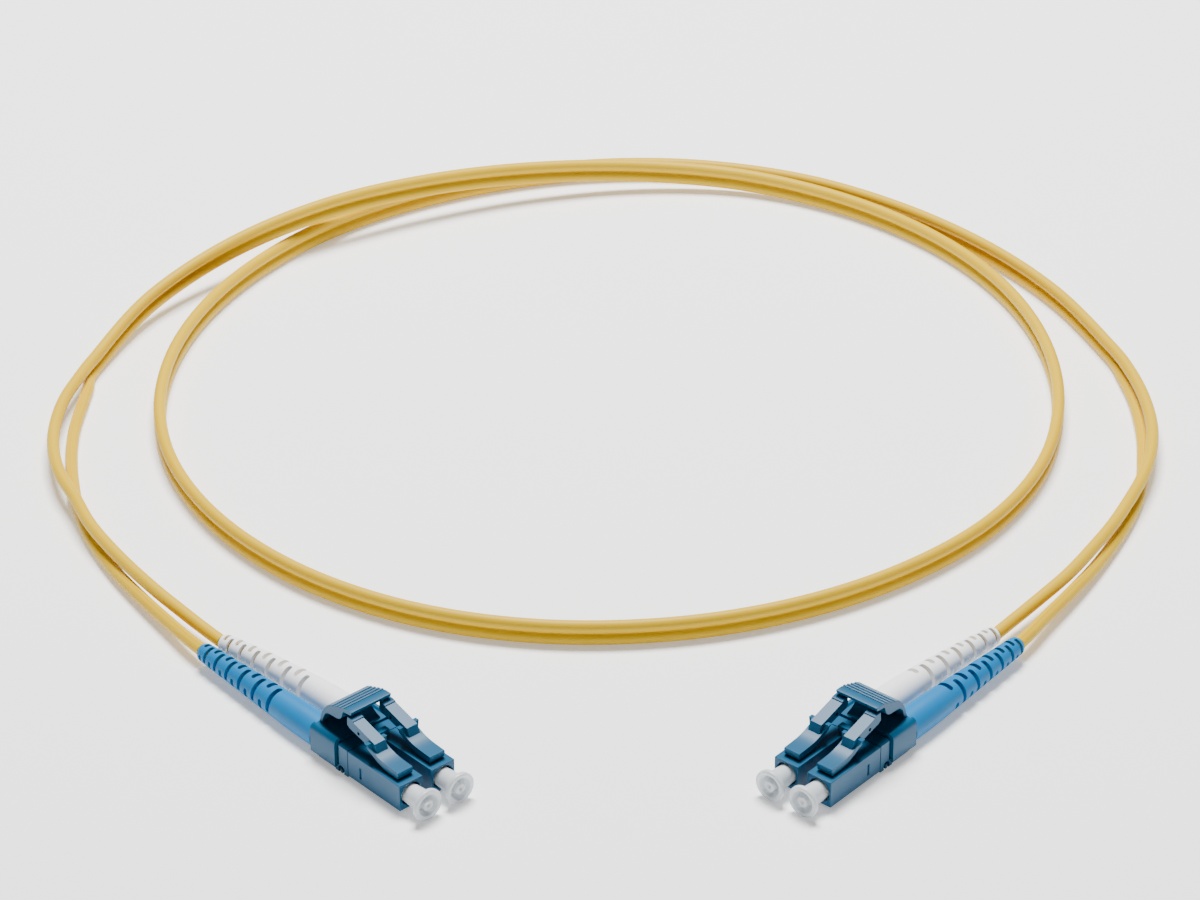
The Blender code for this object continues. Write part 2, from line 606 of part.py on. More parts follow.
def trigger(name, end):
    """A springy hood over both latches: pressing it frees the whole connector."""
    back, foot = CLIP_BACK, CLIP_DECK + GAP * 0.7
    lip_low = BODY_TOP + LATCH_RISE + GAP
    lip_top = lip_low + TRIGGER_LIP
    crest_x, crest_z = back + 0.0025, lip_top - 0.00135
    latch_end = -LATCH_END
    panel = latch_end - 0.0007
    outline = [
        (back, foot), (back + 0.00025, foot + 0.00045), (back + 0.0006, crest_z - 0.00235),
        (back + 0.0012, crest_z - 0.00135), (back + 0.0019, crest_z - 0.00042),
        (crest_x, crest_z)]
    run = (panel - crest_x) / RIDGES
    rise = (lip_top - crest_z) / RIDGES
    for ridge in range(RIDGES):
        x, z = crest_x + ridge * run, crest_z + ridge * rise
        outline += [(x + run * 0.85, z + rise * 0.55), (x + run, z + rise)]
    outline += [
        (latch_end + 0.00065, lip_top), (latch_end + 0.0005, lip_low),
        (latch_end - 0.0013, lip_low - 0.0002), (latch_end - 0.0016, crest_z - 0.00055),
        (latch_end - 0.0022, crest_z - 0.0013), (crest_x + 0.0013, crest_z - 0.00155),
        (crest_x - 0.0001, crest_z - 0.0017),
        (back + 0.00155, crest_z - 0.0020), (back + 0.00105, crest_z - 0.0030),
        (back + 0.0008, foot)]
    hood = add(name, plate_mesh(name, outline, TRIGGER_HALF), TEAL)
    shape = [
        (latch_end - 0.0017, crest_z - 0.0006), (latch_end - 0.0008, crest_z - 0.0014),
        (latch_end + 0.0006, crest_z - 0.0020), (latch_end + 0.0005, crest_z - 0.0024),
        (latch_end - 0.0010, crest_z - 0.0020), (latch_end - 0.0029, crest_z - 0.00145)]
    tongue = add(name + "_tongue", plate_mesh("tongue", shape, TONGUE_HALF))
    boolean(hood, tongue, "UNION")
    x, z = TRIGGER_AXIS
    for obj in (hood, tongue):
        obj.data.transform(Matrix.Translation((-x, 0, -z)))
        hold(obj, end, (x, 0, z))


def connector(side, name):
    """One end of the cord: side is -1 at the left and 1 at the right."""
    end = bpy.data.objects.new(name + "_end", None)
    PARTS.objects.link(end)
    end.location = (side * END_X, END_Y, AXIS_HEIGHT)
    end.rotation_euler = (0, 0, -END_YAW if side < 0 else END_YAW - math.pi)
    duplex_clip(name + "_duplex_clip", end)
    trigger(name + "_trigger", end)
    plugs = (("blue", side * PITCH / 2, BLUE, 45), ("white", -side * PITCH / 2, WHITE, 45))
    for colour, y, paint, roll in plugs:
        stem = f"{name}_{colour}_"
        plug_body(stem + "plug_body", end, y)
        latch(stem + "latch", end, y)
        ferrule(stem + "ferrule", end, y)
        ferrule_holder(stem + "ferrule_holder", end, y)
        spring(stem + "spring", end, y)
        rear_post(stem + "rear_post", end, y)
        crimp_sleeve(stem + "crimp_sleeve", end, y)
        fibre(stem + "fibre", end, y)
        inner = jacket_end(stem + "jacket_end", end, y)
        outer = boot(stem + "boot", end, y, paint, roll)
        if colour == "white":
            for obj in (inner, outer):
                bow(obj, side * WHITE_BOW[name])
        dust_cap(stem + "dust_cap", end, y)


# -------------------------------------------------------------------- the cord
def smooth_line(points, count):
    """Points spaced evenly along a Catmull-Rom curve through the route."""
    route = [Vector(p) for p in points]
    route = [2 * route[0] - route[1]] + route + [2 * route[-1] - route[-2]]
    fine = []
    for a, b, c, d in zip(route, route[1:], route[2:], route[3:]):
        for part in range(12):
            t = part / 12
            fine.append(0.5 * (2 * b + (c - a) * t + (2 * a - 5 * b + 4 * c - d) * t ** 2
                               + (3 * b - a - 3 * c + d) * t ** 3))
    fine.append(route[-2])
    lengths = [0.0]
    for first, second in zip(fine, fine[1:]):
        lengths.append(lengths[-1] + (second - first).length)
    line, place = [], 0
    for step in range(count):
        target = lengths[-1] * step / (count - 1)
        while place < len(fine) - 2 and lengths[place + 1] < target:
            place += 1
        share = (target - lengths[place]) / (lengths[place + 1] - lengths[place])
        line.append(fine[place].lerp(fine[place + 1], min(share, 1.0)))
    return line, lengths[-1]


def least_gap(line, apart):
    """Between stretches of the upright zip cord that lie apart along its length."""
    least = 1.0
    for index, a in enumerate(line):
        for b in line[index + apart:]:
            across = math.hypot(a.x - b.x, a.y - b.y)
            rise = max(0.0, abs(a.z - b.z) - LEG_PITCH)
            least = min(least, math.hypot(across, rise) - 2 * LEG_RADIUS)
    return least


def cord(name, route, steps, profile=None):
    line, length = smooth_line(route, steps)
    print(name, "length, mm:", round(length * 1000, 1))
    if profile is not None:
        fine = smooth_line(route, 20 * steps)[0]
        print(name, "least gap to itself, mm:", round(least_gap(fine, 60) * 1000, 2))
    curve = bpy.data.curves.new(name, "CURVE")
    curve.dimensions = "3D"
    curve.twist_mode = "Z_UP"
    if profile is None:
        curve.bevel_depth = LEG_RADIUS
        curve.bevel_resolution = 1
    else:
        curve.bevel_mode = "OBJECT"
        curve.bevel_object = profile
    curve.use_fill_caps = True
    spline = curve.splines.new("POLY")
    spline.points.add(len(line) - 1)
    for point, place in zip(spline.points, line):
        point.co = (*place, 1)
    obj = bpy.data.objects.new(name, curve)
    CUTTERS.objects.link(obj)
    add(name, curve_mesh(obj), YELLOW)


def zip_profile():
    """The zip cord's section: two round cores, one above the other, and a web."""
    curve = bpy.data.curves.new("zip_profile", "CURVE")
    curve.dimensions = "2D"
    neck = math.asin(WEB_HALF / LEG_RADIUS)
    arc = [neck + (2 * math.pi - 2 * neck) * step / 6 for step in range(7)]
    points = [(LEG_RADIUS * math.sin(a), -LEG_PITCH / 2 + LEG_RADIUS * math.cos(a))
              for a in arc]
    points += [(-x, -y) for x, y in points]
    spline = curve.splines.new("POLY")
    spline.points.add(len(points) - 1)
    for point, (x, y) in zip(spline.points, points):
        point.co = (x, y, 0, 1)
    spline.use_cyclic_u = True
    obj = bpy.data.objects.new("zip_profile", curve)
    CUTTERS.objects.link(obj)
    return obj


for end_side, end_name in ((-1, "left"), (1, "right")):
    connector(end_side, end_name)
section = zip_profile()
cord("duplex_cord", CORD_ROUTE, CORD_STEPS, section)
bpy.data.objects.remove(section, do_unlink=True)
for leg_name, leg_route in LEG_ROUTES.items():
    cord(leg_name, leg_route, LEG_STEPS)
bpy.context.view_layer.update()
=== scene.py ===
"""A duplex fibre optic patch cord on a white table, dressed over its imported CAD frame.

Two latched connectors with slotted boots and milky dust caps, joined by a yellow
zip cord that lies on edge in a loose loop. The cord's routes are in metres. Each
connector's pieces are shaped in millimetres in its own frame, x forward out of the
plugs and z up from the ferrules, and are then placed in metres at the two ends.
"""
import math

import bmesh
import bpy
from mathutils import Matrix, Vector


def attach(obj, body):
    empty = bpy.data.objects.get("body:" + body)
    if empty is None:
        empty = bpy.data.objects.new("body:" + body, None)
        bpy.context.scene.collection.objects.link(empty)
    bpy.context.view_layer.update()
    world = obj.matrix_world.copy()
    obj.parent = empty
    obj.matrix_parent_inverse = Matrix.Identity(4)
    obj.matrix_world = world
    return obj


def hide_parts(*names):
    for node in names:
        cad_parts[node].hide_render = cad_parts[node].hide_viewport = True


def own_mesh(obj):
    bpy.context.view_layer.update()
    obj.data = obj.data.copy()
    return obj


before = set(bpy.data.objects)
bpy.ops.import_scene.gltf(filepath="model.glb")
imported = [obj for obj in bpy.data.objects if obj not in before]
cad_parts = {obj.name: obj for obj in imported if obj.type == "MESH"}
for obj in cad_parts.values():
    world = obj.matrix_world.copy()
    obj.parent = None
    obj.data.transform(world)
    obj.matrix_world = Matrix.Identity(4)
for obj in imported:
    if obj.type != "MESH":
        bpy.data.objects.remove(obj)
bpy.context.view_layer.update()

# ------------------------------------------------------------------ the camera
# A long lens, as a product photographer uses, looking down at 31.5 degrees.
CAMERA_PLACE = (-0.00977, -0.55658, 0.39203)
CAMERA_DIRECTION = Vector((0.01190, 0.85243, -0.52270))
camera_data = bpy.data.cameras.new("camera")
camera_data.sensor_width = 36
camera_data.lens = 132.76
camera_data.clip_start = 0.01
camera = bpy.data.objects.new("camera", camera_data)
bpy.context.scene.collection.objects.link(camera)
camera.location = CAMERA_PLACE
camera.rotation_euler = CAMERA_DIRECTION.to_track_quat("-Z", "Y").to_euler()
bpy.context.scene.camera = camera

# ---------------------------------------------------------------- the zip cord
# Two round jackets of 2.1 mm, extruded together with a thin web between them.
# It stands on edge, and crosses its other end in a long low hump at the back.
JACKET = 1.05       # radius of each jacket, mm
CORE = 1.1          # from the web's middle to each jacket's centre, mm
WEB = 0.32          # half the web's thickness, mm
ZIP_SPACING = 0.0022
BEFORE_ROUTE = (-0.0897, 0.1025, 0.0022)    # where the cord would run on to at each end
AFTER_ROUTE = (0.0907, 0.1029, 0.0022)
ROUTE = [
    (-0.0883, 0.1095, 0.0022), (-0.0799, 0.1283, 0.0038), (-0.0663, 0.1438, 0.0060),
    (-0.0497, 0.1559, 0.0073), (-0.0315, 0.1657, 0.0068), (-0.0121, 0.1727, 0.0055),
    (0.0082, 0.1759, 0.0040), (0.0283, 0.1739, 0.0028), (0.0466, 0.1648, 0.0023),
    (0.0615, 0.1506, 0.0022), (0.0720, 0.1328, 0.0022), (0.0774, 0.1131, 0.0022),
    (0.0778, 0.0925, 0.0022), (0.0730, 0.0723, 0.0022), (0.0627, 0.0545, 0.0022),
    (0.0477, 0.0404, 0.0022), (0.0297, 0.0303, 0.0022), (0.0100, 0.0249, 0.0022),
    (-0.0108, 0.0245, 0.0022), (-0.0308, 0.0296, 0.0022), (-0.0485, 0.0401, 0.0022),
    (-0.0626, 0.0551, 0.0022), (-0.0721, 0.0735, 0.0022), (-0.0760, 0.0936, 0.0022),
    (-0.0743, 0.1143, 0.0022), (-0.0675, 0.1336, 0.0022), (-0.0560, 0.1509, 0.0022),
    (-0.0408, 0.1646, 0.0022), (-0.0225, 0.1744, 0.0022), (-0.0027, 0.1797, 0.0022),
    (0.0180, 0.1796, 0.0022), (0.0380, 0.1737, 0.0022), (0.0552, 0.1626, 0.0022),
    (0.0699, 0.1478, 0.0022), (0.0810, 0.1306, 0.0022), (0.0886, 0.1113, 0.0022),
]


def smooth_line(route, spacing, before=None, after=None):
    """Evenly spaced points on a Catmull-Rom curve through the route, and its length.

    before and after are where the line would run on to past its two ends.
    """
    knots = [Vector(p) for p in route]
    before = Vector(before) if before else 2 * knots[0] - knots[1]
    after = Vector(after) if after else 2 * knots[-1] - knots[-2]
    knots = [before, *knots, after]
    parts = 24
    fine = []
    for a, b, c, d in zip(knots, knots[1:], knots[2:], knots[3:]):
        for part in range(parts):
            t = part / parts
            fine.append(0.5 * (2 * b + (c - a) * t + (2 * a - 5 * b + 4 * c - d) * t ** 2
                               + (3 * b - a - 3 * c + d) * t ** 3))
    fine.append(knots[-2])
    lengths = [0.0]
    for first, second in zip(fine, fine[1:]):
        lengths.append(lengths[-1] + (second - first).length)
    count = round(lengths[-1] / spacing)
    line, place = [], 0
    for step in range(count + 1):
        target = lengths[-1] * step / count
        while place < len(fine) - 2 and lengths[place + 1] < target:
            place += 1
        share = (target - lengths[place]) / (lengths[place + 1] - lengths[place])
        line.append(fine[place].lerp(fine[place + 1], min(share, 1.0)))
    return line, lengths[-1]


def tube_mesh(line, section):
    """The mesh of that section, points (across, up) in millimetres, along the line."""
    profile = bpy.data.curves.new("profile", "CURVE")
    outline = profile.splines.new("POLY")
    outline.points.add(len(section) - 1)
    for point, (across, up) in zip(outline.points, section):
        point.co = (across / 1000, up / 1000, 0, 1)
    outline.use_cyclic_u = True
    profile_object = bpy.data.objects.new("profile", profile)
    bpy.context.scene.collection.objects.link(profile_object)
    curve = bpy.data.curves.new("route", "CURVE")
    curve.dimensions = "3D"
    curve.twist_mode = "Z_UP"
    curve.bevel_mode = "OBJECT"
    curve.bevel_object = profile_object
    curve.use_fill_caps = True
    spline = curve.splines.new("POLY")
    spline.points.add(len(line) - 1)
    for point, place in zip(spline.points, line):
        point.co = (*place, 1)
    draft = bpy.data.objects.new("route", curve)
    bpy.context.scene.collection.objects.link(draft)
    bpy.context.view_layer.update()
    mesh = bpy.data.meshes.new_from_object(
        draft.evaluated_get(bpy.context.evaluated_depsgraph_get()))
    bpy.data.objects.remove(draft)
    bpy.data.objects.remove(profile_object)
    return mesh


def jacket(name, line, length, section):
    """A smooth tube with crisp ends, its UV map in millimetres along and round it."""
    mesh = tube_mesh(line, section)
    bm = bmesh.new()
    bm.from_mesh(mesh)
    bmesh.ops.remove_doubles(bm, verts=bm.verts, dist=1e-7)
    bmesh.ops.recalc_face_normals(bm, faces=bm.faces)
    for face in bm.faces:
        face.smooth = len(face.verts) == 4
        if not face.smooth:
            for edge in face.edges:
                edge.smooth = False
    layer = bm.loops.layers.uv.verify()
    for face in bm.faces:
        for loop in face.loops:
            loop[layer].uv.x *= length * 1000
            loop[layer].uv.y *= 2 * math.pi * JACKET
    bm.to_mesh(mesh)
    bm.free()
    piece = bpy.data.objects.new(name, mesh)
    bpy.context.scene.collection.objects.link(piece)
    return piece


def linear(colour):
    """An sRGB hex colour as linear values."""
    values = [int(colour[place:place + 2], 16) / 255 for place in (1, 3, 5)]
    return [v / 12.92 if v <= 0.04045 else ((v + 0.055) / 1.055) ** 2.4 for v in values] + [1]


def add_node(tree, kind, inputs=None, **settings):
    """A shader node with its settings; inputs holds values and sockets to link.

    Where a node has several inputs of one name, the number picks one of them.
    """
    new = tree.nodes.new(kind)
    for name, value in settings.items():
        setattr(new, name, value)
    for name, value in (inputs or {}).items():
        if isinstance(value, bpy.types.NodeSocket):
            tree.links.new(value, new.inputs[name])
        else:
            new.inputs[name].default_value = value
    return new


def start_material(name, **values):
    """A Principled material; underscores in the names of its sockets stand for spaces."""
    new = bpy.data.materials.new(name)
    new.use_nodes = True
    shader = new.node_tree.nodes["Principled BSDF"]
    for socket, value in values.items():
        shader.inputs[socket.replace("_", " ")].default_value = value
    return new, new.node_tree, shader


# Extruded low-smoke jacket compound: satin, a warm deep yellow. The die leaves
# faint draw lines along it, 0.3 mm wide here, coarser than the real ones, so that
# they show, and the colour drifts a little from one centimetre to the next.
DRAW_LINE = (50, 0.286)       # length and width, mm
DRIFT = (16.7, 5)             # length and width of a patch of colour, mm
yellow, tree, shader = start_material("yellow_jacket_extruded", Roughness=0.5,
                                      Specular_IOR_Level=0.25)
uv = add_node(tree, "ShaderNodeUVMap")
lines = add_node(tree, "ShaderNodeMapping", {
    "Vector": uv.outputs["UV"], "Scale": (1 / DRAW_LINE[0], 1 / DRAW_LINE[1], 1)})
draw = add_node(tree, "ShaderNodeTexNoise", {"Vector": lines.outputs["Vector"], "Scale": 1.0,
                                             "Detail": 3.0})
waves = add_node(tree, "ShaderNodeMapping", {
    "Vector": uv.outputs["UV"], "Scale": (1 / DRIFT[0], 1 / DRIFT[1], 1)})
drift = add_node(tree, "ShaderNodeTexNoise", {"Vector": waves.outputs["Vector"], "Scale": 1.0})
shade = add_node(tree, "ShaderNodeMix", {
    "Factor": drift.outputs["Fac"], 6: linear("#CFA700"), 7: linear("#D7AF00")},
    data_type="RGBA")
relief = add_node(tree, "ShaderNodeBump", {
    "Height": draw.outputs["Fac"], "Distance": 0.012 / 1000, "Strength": 1.0})
tree.links.new(shade.outputs[2], shader.inputs["Base Color"])
tree.links.new(relief.outputs["Normal"], shader.inputs["Normal"])


def zip_section(points=18):
    """Two round lobes, one above the other, with the web's neck between them."""
    neck = math.asin(WEB / JACKET)
    arc = [neck + (2 * math.pi - 2 * neck) * step / (points - 1) for step in range(points)]
    lower = [(JACKET * math.sin(a), -CORE + JACKET * math.cos(a)) for a in arc]
    return lower + [(-x, -y) for x, y in lower]


def lay_cord(cord, node):
    """Gives a cord its compound, rides it on the root and hides the CAD node it stands for."""
    cord.data.materials.clear()
    cord.data.materials.append(yellow)
    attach(cord, "root")
    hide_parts(node)


line, length = smooth_line(ROUTE, ZIP_SPACING, before=BEFORE_ROUTE, after=AFTER_ROUTE)
lay_cord(jacket("zip_cord", line, length, zip_section()), "duplex_cord")

# ------------------------------------------------------------- the single legs
# Past each split the web is torn and the two jackets run on alone to the boots:
# the upper one to the white boot, the lower one to the blue boot.
LEG_SPACING = 0.0018
RIDGE_CREST = 0.14            # how far the torn web's ridge stands out, mm
RIDGE_FOOT = 0.01
RIDGE_PINCH = 0.6             # its foot's width, as a share of the round jacket's there
LEG_ROUTES = {
    "left_white_leg": [
        (-0.0884, 0.1092, 0.0033), (-0.0905, 0.1024, 0.0034), (-0.0923, 0.0953, 0.0035),
        (-0.0931, 0.0885, 0.0035), (-0.0931, 0.0820, 0.0035), (-0.0922, 0.0754, 0.0036),
        (-0.0904, 0.0690, 0.0037), (-0.0878, 0.0630, 0.0037), (-0.0844, 0.0544, 0.0037),
        (-0.0793, 0.0453, 0.0036), (-0.0731, 0.0363, 0.0033), (-0.0669, 0.0285, 0.0029),
        (-0.0639, 0.0249, 0.0027), (-0.06113, 0.02159, 0.0026)],
    "left_blue_leg": [
        (-0.0884, 0.1092, 0.0011), (-0.0891, 0.1026, 0.0011), (-0.0897, 0.0962, 0.0011),
        (-0.0902, 0.0900, 0.0011), (-0.0902, 0.0835, 0.0011), (-0.0897, 0.0770, 0.0011),
        (-0.0888, 0.0705, 0.0011), (-0.0875, 0.0640, 0.0011), (-0.0847, 0.0546, 0.0012),
        (-0.0802, 0.0449, 0.0014), (-0.0750, 0.0359, 0.0017), (-0.0691, 0.0266, 0.0022),
        (-0.0666, 0.0227, 0.0025), (-0.06407, 0.01923, 0.0026)],
    "right_white_leg": [
        (0.0887, 0.1110, 0.0033), (0.0910, 0.1026, 0.0035), (0.0924, 0.0940, 0.0035),
        (0.0928, 0.0860, 0.0035), (0.0923, 0.0794, 0.0036), (0.0910, 0.0727, 0.0037),
        (0.0891, 0.0668, 0.0037), (0.0868, 0.0613, 0.0037), (0.0829, 0.0530, 0.0037),
        (0.0787, 0.0457, 0.0036), (0.0736, 0.0378, 0.0034), (0.0671, 0.0297, 0.0030),
        (0.0632, 0.0251, 0.0027), (0.0607, 0.02205, 0.0026)],
    "right_blue_leg": [
        (0.0887, 0.1110, 0.0011), (0.0903, 0.1032, 0.0011), (0.0912, 0.0963, 0.0011),
        (0.0914, 0.0896, 0.0011), (0.0912, 0.0830, 0.0011), (0.0905, 0.0765, 0.0011),
        (0.0896, 0.0702, 0.0011), (0.0879, 0.0630, 0.0011), (0.0840, 0.0533, 0.0012),
        (0.0788, 0.0430, 0.0015), (0.0740, 0.0348, 0.0020), (0.0688, 0.0266, 0.0024),
        (0.0666, 0.0229, 0.0026), (0.06407, 0.01923, 0.0026)],
}


def leg_section(ridge, points=32):
    """A round jacket with the torn web's low ridge above (1) or below (-1)."""
    turns = [2 * math.pi * step / points for step in range(points)]
    section = [(JACKET * math.cos(turn), JACKET * math.sin(turn)) for turn in turns]
    peak = points // 4 if ridge > 0 else 3 * points // 4
    for step, lift in ((-1, RIDGE_FOOT), (0, RIDGE_CREST), (1, RIDGE_FOOT)):
        x, z = section[peak + step]
        section[peak + step] = (x * (RIDGE_PINCH if step else 1), z + ridge * lift)
    return section


for leg_name, route in LEG_ROUTES.items():
    side, colour = leg_name.split("_")[:2]
    joint = Vector(ROUTE[0] if side == "left" else ROUTE[-1])
    inner = Vector(ROUTE[1] if side == "left" else ROUTE[-2])
    up = 1 if colour == "white" else -1
    lift = Vector((0, 0, up * CORE / 1000))
    # it starts on its own jacket's line in the zip cord, not at its first point
    line, length = smooth_line([joint + lift, *route[1:]], LEG_SPACING, before=inner + lift)
    lay_cord(jacket(leg_name + "_jacket", line, length, leg_section(-up)), leg_name)

# ------------------------------------------------------------- the bend boots
# Tapered thermoplastic sleeves that push on behind the clip. Twelve rows of
# rounded slots, turned a quarter from row to row, let the cord bend gently;
# the white ones bow towards the blue ones. First, where each plug lies.
FACE_X = 0.0281               # middle between a connector's two plug faces, m
FACE_Y = -0.0172276
FERRULE_HEIGHT = 0.0026       # of the ferrules over the table, m
SPLAY = 48.9                  # degrees from the x axis to each connector
PITCH = 6.25                  # between the two ferrules
CONNECTORS = {}
PLUGS = []
for end, side, turn in (("left", -1, -SPLAY), ("right", 1, SPLAY - 180)):
    matrix = (Matrix.Translation((side * FACE_X, FACE_Y, FERRULE_HEIGHT))
              @ Matrix.Rotation(math.radians(turn), 4, "Z") @ Matrix.Scale(0.001, 4))
    CONNECTORS[end] = matrix
    for colour, y in (("blue", side * PITCH / 2), ("white", -side * PITCH / 2)):
        PLUGS.append((end, colour, matrix @ Matrix.Translation((0, y, 0))))

BOOT_FRONT = -21.1
BOOT_BACK = -50.8
BOOT_RINGS = 54
# the outside, as (x, radius): nearly straight to the slots, then tapering to the cord
BOOT_OUTLINE = [(BOOT_FRONT, 2.60), (-25.5, 2.60), (-28.6, 2.52), (-31.5, 2.38),
                (BOOT_BACK + 1.2, 1.60), (BOOT_BACK + 0.35, 1.52), (BOOT_BACK, 1.36)]
SLEEVE_BORE = 1.72            # radius of the bore round the crimp sleeve
CORD_BORE = 1.12              # radius of the bore behind it
BORE_STEP = (7.9, 9.0)        # where one bore tapers to the other, from the front
SLOT_ROWS = 12
SLOT_START = 0.95             # from the tip to the first row
SLOT_STEP = 1.25              # from the first row to the second
SLOT_STEP_GROWTH = 0.078      # each later step is longer by this
SLOT_WIDTH = 0.62
SLOT_WIDTH_GROWTH = 0.022
SLOT_SWEEP = 124              # degrees that a slot reaches round the boot
SLOT_FLOOR = 0.86             # radius inside the bore, so that a slot opens into it
SLOT_PROUD = 0.6              # how far its cutter stands out past the boot
SLOT_ROUND = 0.49             # its ends' rounding, as a share of its width
# degrees that each boot is turned about its axis, and the radius of each white
# one's bow, whose sign says to which side
ROLL = {("left", "blue"): 45, ("left", "white"): 60,
        ("right", "blue"): 30, ("right", "white"): 45}
BOW = {"left": -180.0, "right": 240.0}


def draft_object(bm, name):
    """A bmesh as an object in millimetres, to be finished by modifiers."""
    bmesh.ops.recalc_face_normals(bm, faces=bm.faces)
    mesh = bpy.data.meshes.new(name)
    bm.to_mesh(mesh)
    bm.free()
    draft = bpy.data.objects.new(name, mesh)
    bpy.context.scene.collection.objects.link(draft)
    return draft


def turned(profile, sides, name):
    """Points (x, radius) spun about x into a closed form."""
    bm = bmesh.new()
    verts = [bm.verts.new((x, radius, 0)) for x, radius in profile]
    edges = [bm.edges.new(pair) for pair in zip(verts, verts[1:])]
    bmesh.ops.spin(bm, geom=verts + edges, cent=(0, 0, 0), axis=(1, 0, 0),
                   angle=2 * math.pi, steps=sides, use_merge=True)
    bmesh.ops.remove_doubles(bm, verts=bm.verts, dist=1e-4)
    return draft_object(bm, name)


def cut(draft, tool, operation="DIFFERENCE"):
    """Takes the tool's form out of the draft, or joins the two with a UNION."""
    change = draft.modifiers.new(operation.lower(), "BOOLEAN")
    change.operation = operation
    change.object = tool
    change.solver = "EXACT"


def soften(draft, width, segments=2, angle=28):
    """Rounds the edges that turn by more than that angle, as a mould leaves them."""
    edge = draft.modifiers.new("edges", "BEVEL")
    edge.width = width
    edge.segments = segments
    edge.limit_method = "ANGLE"
    edge.angle_limit = math.radians(angle)
    edge.harden_normals = True


def finished(draft, *tools):
    """The draft's mesh with its modifiers applied; the draft and its tools go."""
    for face in draft.data.polygons:
        face.use_smooth = True
    bpy.context.view_layer.update()
    mesh = bpy.data.meshes.new_from_object(
        draft.evaluated_get(bpy.context.evaluated_depsgraph_get()))
    for item in (draft, *tools):
        bpy.data.objects.remove(item)
    return mesh


def place(mesh, name, matrix, material, body, slot, node):
    """A copy of the mesh at that place, riding on its body in its node's stead."""
    copy = mesh.copy()
    copy.transform(matrix)
    copy.materials.clear()
    copy.materials.append(material)
    piece = bpy.data.objects.new(name, copy)
    bpy.context.scene.collection.objects.link(piece)
    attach(piece, body)
    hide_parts(node)
    return piece


def boot_radius(x):
    """The radius of the boot's outside at x."""
    for (x0, r0), (x1, r1) in zip(BOOT_OUTLINE, BOOT_OUTLINE[1:]):
        if x >= x1:
            return r0 + (r1 - r0) * (x - x0) / (x1 - x0)
    return BOOT_OUTLINE[-1][1]


def slot_cutter(x, width, radius, turn):
    """The mesh of a flat pill, thickened, then bent round the boot's axis at that turn."""
    flat = bmesh.new()
    bmesh.ops.create_grid(flat, x_segments=1, y_segments=12, size=0.5)
    bmesh.ops.scale(flat, vec=(width, radius * math.radians(SLOT_SWEEP), 1), verts=flat.verts)
    corners = [v for v in flat.verts if len(v.link_edges) == 2]
    bmesh.ops.bevel(flat, geom=corners, affect="VERTICES", offset=width * SLOT_ROUND,
                    segments=5, profile=0.5, material=-1)
    sheet = bmesh.ops.extrude_face_region(flat, geom=flat.faces[:])["geom"]
    raised = {v for v in sheet if isinstance(v, bmesh.types.BMVert)}
    for vert in flat.verts:
        angle = math.radians(turn) + vert.co.y / radius
        reach = radius + SLOT_PROUD if vert in raised else SLOT_FLOOR
        vert.co = (x + vert.co.x, reach * math.cos(angle), reach * math.sin(angle))
    bmesh.ops.recalc_face_normals(flat, faces=flat.faces)
    pill = bpy.data.meshes.new("pill")
    flat.to_mesh(pill)
    flat.free()
    return pill


stations = [BOOT_FRONT + (BOOT_BACK - BOOT_FRONT) * step / BOOT_RINGS
            for step in range(BOOT_RINGS)]
stations += [BOOT_BACK + 0.3, BOOT_BACK + 0.12, BOOT_BACK]
wide_end, narrow_start = (BOOT_FRONT - depth for depth in BORE_STEP)
sleeve = turned([
    (BOOT_FRONT, SLEEVE_BORE), *[(x, boot_radius(x)) for x in stations],
    (BOOT_BACK, CORD_BORE), (narrow_start, CORD_BORE), (wide_end, SLEEVE_BORE),
    (BOOT_FRONT, SLEEVE_BORE)], sides=56, name="boot")
pills = bmesh.new()
x, step = BOOT_BACK + SLOT_START, SLOT_STEP
for row in range(SLOT_ROWS):
    for turn in (0, 180):
        pill = slot_cutter(x, SLOT_WIDTH + SLOT_WIDTH_GROWTH * row, boot_radius(x),
                           90 * (row % 2) + turn)
        pills.from_mesh(pill)
        bpy.data.meshes.remove(pill)
    x += step
    step += SLOT_STEP_GROWTH
slots = draft_object(pills, "slots")
cut(sleeve, slots)
soften(sleeve, width=0.07, angle=40)
boot_mesh = finished(sleeve, slots)


def mottle(tree, shader, width, dark, light, detail=2.0):
    """Soft clouds, their width in millimetres, shift the base colour between two shades."""
    place_in = add_node(tree, "ShaderNodeTexCoord")
    clouds = add_node(tree, "ShaderNodeTexNoise", {
        "Vector": place_in.outputs["Object"], "Scale": 1000 / width, "Detail": detail})
    shade = add_node(tree, "ShaderNodeMix", {
        "Factor": clouds.outputs["Fac"], 6: linear(dark), 7: linear(light)},
        data_type="RGBA")
    tree.links.new(shade.outputs[2], shader.inputs["Base Color"])


def mould_grain(tree, shader, width, height):
    """The fine grain that a mould leaves, its width and height in millimetres."""
    place_in = add_node(tree, "ShaderNodeTexCoord")
    skin = add_node(tree, "ShaderNodeTexNoise", {
        "Vector": place_in.outputs["Object"], "Scale": 1000 / width, "Detail": 2.0})
    relief = add_node(tree, "ShaderNodeBump", {
        "Height": skin.outputs["Fac"], "Distance": height / 1000, "Strength": 1.0})
    tree.links.new(relief.outputs["Normal"], shader.inputs["Normal"])


# Soft thermoplastic elastomer, moulded: even colour, satin skin, no gloss lines.
# Its grain is drawn 0.11 mm wide, coarser than the real one, so that it shows.
boot_blue, tree, shader = start_material("boot_elastomer_blue", Roughness=0.45,
                                         Specular_IOR_Level=0.2)
mottle(tree, shader, 7.14, "#006CA4", "#0075AF")
mould_grain(tree, shader, 0.111, 0.004)
